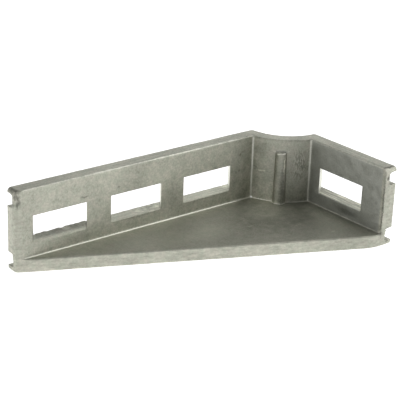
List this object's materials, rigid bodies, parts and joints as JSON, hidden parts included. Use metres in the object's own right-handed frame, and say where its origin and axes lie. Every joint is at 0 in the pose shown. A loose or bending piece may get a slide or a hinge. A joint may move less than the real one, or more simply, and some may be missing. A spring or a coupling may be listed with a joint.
{
  "type": "profile foundation bracket",
  "caption": "Die-cast angle bracket with slotted walls of unequal length, a triangular web and a relieved outer corner, for fixing a profile frame to a floor or wall.",
  "frame": {"origin": "centre of the bounding box in plan, on the underside of the web", "axes": "+X along the long leg away from the corner, +Y along the short leg away from the corner, +Z from the web to the open top of the walls"},
  "size_m": [0.18, 0.086, 0.043],
  "materials": {
    "casting": "as-cast, matte, mottled"
  },
  "bodies": {
    "root": {"bracket": "casting"}
  },
  "joints": []
}
